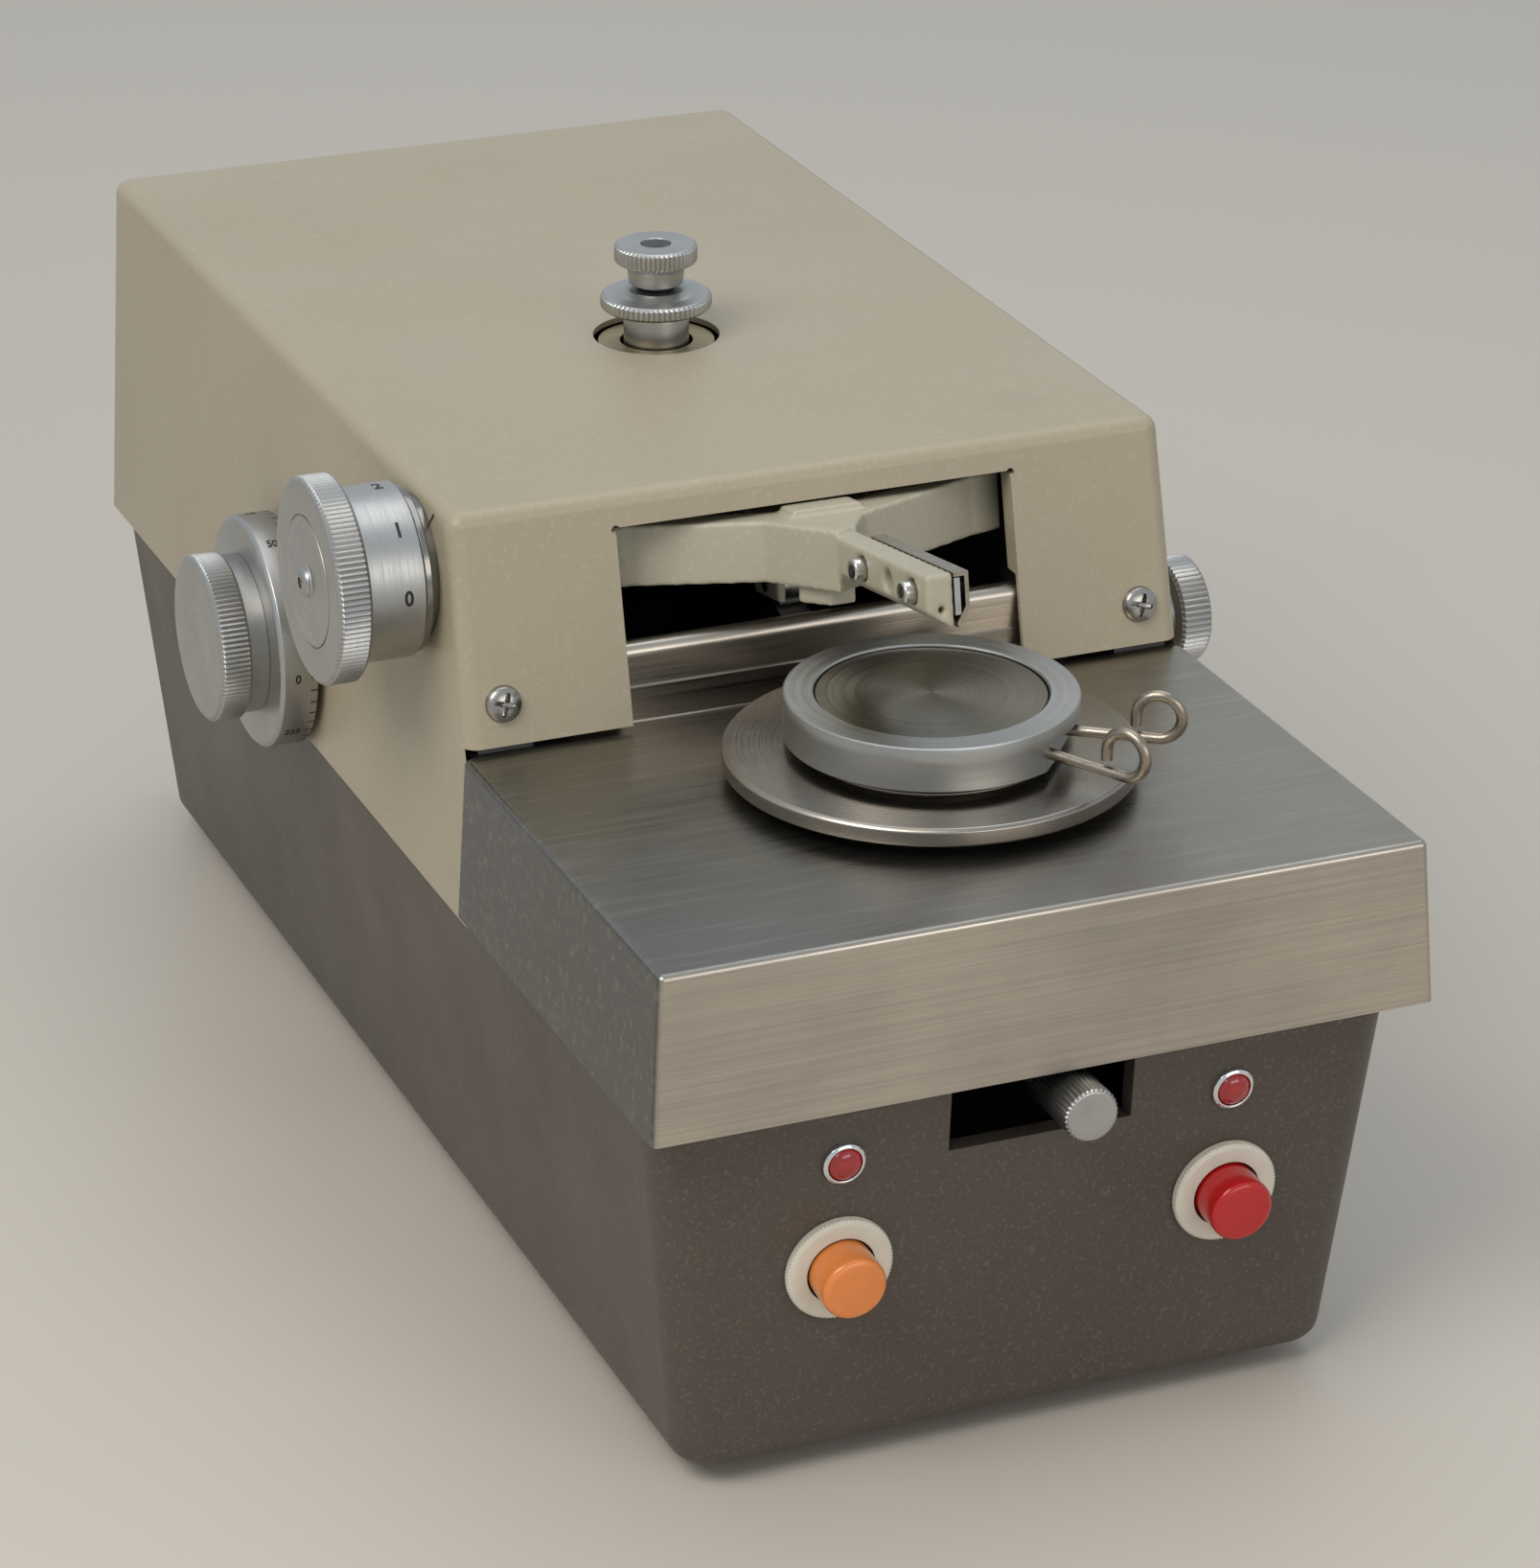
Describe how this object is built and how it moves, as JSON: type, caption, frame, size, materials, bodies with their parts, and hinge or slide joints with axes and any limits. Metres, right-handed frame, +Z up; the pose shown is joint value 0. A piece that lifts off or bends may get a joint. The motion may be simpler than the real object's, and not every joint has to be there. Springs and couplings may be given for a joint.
{
  "type": "tissue sectioner",
  "caption": "Bench tissue sectioner: a cam-lifted chopping arm over a sliding, turning specimen table, with rate and thickness dials, force knobs and push buttons.",
  "frame": {"origin": "on the bench under the middle of the instrument's overall box, knobs and gland included", "axes": "+Z up; +Y from the operator to the rear, along the arm; +X to the operator's right, along the table's travel"},
  "size_m": [0.236, 0.4584, 0.2239],
  "materials": {
    "base_paint": "hammered dark grey-brown paint on cast iron, slight sheen",
    "hood_paint": "smooth cream paint on sheet steel, satin",
    "arm_paint": "cream paint on a casting, satin, worn at the edges",
    "stainless": "satin stainless sheet, brushed along X",
    "turned_steel": "turned and ground steel",
    "chrome": "bright plated trim",
    "aluminium": "turned aluminium, satin, knurled rims",
    "cast_aluminium": "machined cast aluminium",
    "blued_steel": "dark oiled steel",
    "bronze": "plain bearing bronze",
    "rubber": "matte black rubber",
    "black_plastic": "moulded black plastic",
    "cream_plastic": "cream moulded nut, fluted edge",
    "orange_plastic": "orange push cap",
    "red_plastic": "red push cap",
    "red_lens": "translucent red lens"
  },
  "bodies": {
    "frame": {"base_housing": "base_paint", "bottom_cover": "blued_steel", "base_screws": "turned_steel", "rubber_feet": "rubber", "chassis_plate": "turned_steel", "deck": "stainless", "hood": "hood_paint", "hood_screws": "turned_steel", "hood_brackets": "turned_steel", "inner_frame": "cast_aluminium", "frame_bushes": "bronze", "rail_blocks": "cast_aluminium", "guide_rods": "turned_steel", "motor": "blued_steel", "rate_control": "black_plastic", "rate_ring": "aluminium", "feed_bearing": "blued_steel", "force_bush": "bronze", "button_bezels": "cream_plastic", "switch_bodies": "black_plastic", "pilot_rings": "chrome", "pilot_lenses": "red_lens", "cable_gland": "black_plastic", "force_stem": "blued_steel", "force_washer": "black_plastic", "force_spring": "turned_steel", "drive_belt": "rubber", "arm_pivot_shaft": "turned_steel"},
    "arm": {"arm_casting": "arm_paint", "blade_clamp": "turned_steel", "clamp_bar": "turned_steel", "clamp_screws": "blued_steel"},
    "arm_roller": {"follower_roller": "turned_steel"},
    "cam_rotor": {"cam_shaft": "turned_steel", "lift_cam": "turned_steel", "feed_cam": "turned_steel", "cam_pulley": "aluminium", "hand_knob": "aluminium"},
    "motor_rotor": {"motor_pulley": "aluminium"},
    "feed_push": {"feed_bar": "turned_steel"},
    "feed_swing": {"feed_lever": "turned_steel"},
    "screw_rotor": {"lead_screw": "turned_steel", "ratchet_wheel": "turned_steel"},
    "carriage": {"table_carriage": "cast_aluminium", "half_nut": "bronze"},
    "release": {"release_knob": "aluminium"},
    "table": {"table_plate": "turned_steel", "specimen_ring": "turned_steel"},
    "disc": {"specimen_disc": "turned_steel"},
    "pin_front": {"eye_pin_front": "turned_steel"},
    "pin_rear": {"eye_pin_rear": "turned_steel"},
    "force": {"force_knob": "aluminium"},
    "lock": {"lock_knob": "aluminium"},
    "rate": {"rate_knob": "aluminium", "rate_screw": "blued_steel", "rate_shaft": "turned_steel"},
    "feed": {"feed_knob": "aluminium", "feed_drum": "aluminium"},
    "start": {"start_button": "orange_plastic"},
    "stop": {"stop_button": "red_plastic"}
  },
  "joints": [
    {"name": "cam_turn", "type": "hinge", "parent": "frame", "child": "cam_rotor", "pos_m": [0.005, -0.0601, 0.1385], "axis": [-1, 0, 0], "range_deg": [0, 330]},
    {"name": "arm_lift", "type": "hinge", "parent": "frame", "child": "arm", "pos_m": [0.005, -0.0453, 0.1745], "axis": [1, 0, 0], "range_deg": [0, 9.8], "deforming": ["force_spring"]},
    {"name": "roller_spin", "type": "hinge", "parent": "arm", "child": "arm_roller", "pos_m": [0.005, -0.06435, 0.16409], "axis": [1, 0, 0], "continuous": true},
    {"name": "motor_spin", "type": "hinge", "parent": "frame", "child": "motor_rotor", "pos_m": [0.005, 0.1152, 0.122], "axis": [-1, 0, 0], "range_deg": [0, 541.7]},
    {"name": "feed_push", "type": "slide", "parent": "frame", "child": "feed_push", "axis": [0, 1, 0], "range_m": [0, 0.005]},
    {"name": "feed_swing", "type": "hinge", "parent": "frame", "child": "feed_swing", "pos_m": [0.005, -0.1408, 0.094], "axis": [-1, 0, 0], "range_deg": [0, 6.71]},
    {"name": "screw_spin", "type": "hinge", "parent": "frame", "child": "screw_rotor", "pos_m": [0.005, -0.1408, 0.094], "axis": [1, 0, 0], "continuous": true},
    {"name": "table_slide", "type": "slide", "parent": "frame", "child": "carriage", "axis": [1, 0, 0], "range_m": [-0.0195, 0.0115]},
    {"name": "release_turn", "type": "hinge", "parent": "carriage", "child": "release", "pos_m": [0.011, -0.2292, 0.0938], "axis": [0, 1, 0], "range_deg": [-90, 90]},
    {"name": "table_turn", "type": "hinge", "parent": "carriage", "child": "table", "pos_m": [0.0092, -0.1408, 0.102], "axis": [0, 0, 1], "range_deg": [-150, 75]},
    {"name": "disc_lift", "type": "slide", "parent": "table", "child": "disc", "axis": [0, 0, -1], "range_m": [-0.012, 0]},
    {"name": "pin_front_pull", "type": "slide", "parent": "table", "child": "pin_front", "axis": [0.4848, -0.8746, 0], "range_m": [0, 0.008]},
    {"name": "pin_rear_pull", "type": "slide", "parent": "table", "child": "pin_rear", "axis": [0.809, -0.5878, 0], "range_m": [0, 0.008]},
    {"name": "force_turn", "type": "hinge", "parent": "frame", "child": "force", "pos_m": [0.005, 0.0258, 0.1994], "axis": [0, 0, 1], "range_deg": [0, 340]},
    {"name": "lock_turn", "type": "hinge", "parent": "frame", "child": "lock", "pos_m": [0.005, 0.0258, 0.219], "axis": [0, 0, 1], "range_deg": [-90, 0]},
    {"name": "rate_turn", "type": "hinge", "parent": "frame", "child": "rate", "pos_m": [-0.116, -0.0548, 0.1786], "axis": [-1, 0, 0], "range_deg": [-48, 240]},
    {"name": "feed_turn", "type": "hinge", "parent": "frame", "child": "feed", "pos_m": [-0.1151, 0.0465, 0.1249], "axis": [-1, 0, 0], "range_deg": [0, 1440]},
    {"name": "start_press", "type": "slide", "parent": "frame", "child": "start", "axis": [0, 0.9968, 0.0802], "range_m": [0, 0.003], "stiffness_N_per_m": 400},
    {"name": "stop_press", "type": "slide", "parent": "frame", "child": "stop", "axis": [0, 0.9968, 0.0802], "range_m": [0, 0.003], "stiffness_N_per_m": 400}
  ],
  "couplings": [
    {"joint": "arm_lift", "follows": "cam_turn", "ratio": 0.029697},
    {"joint": "motor_spin", "follows": "cam_turn", "ratio": 1.64},
    {"joint": "feed_push", "follows": "cam_turn", "m_per_rad": 0.00086812},
    {"joint": "feed_swing", "follows": "cam_turn", "ratio": 0.020333}
  ]
}
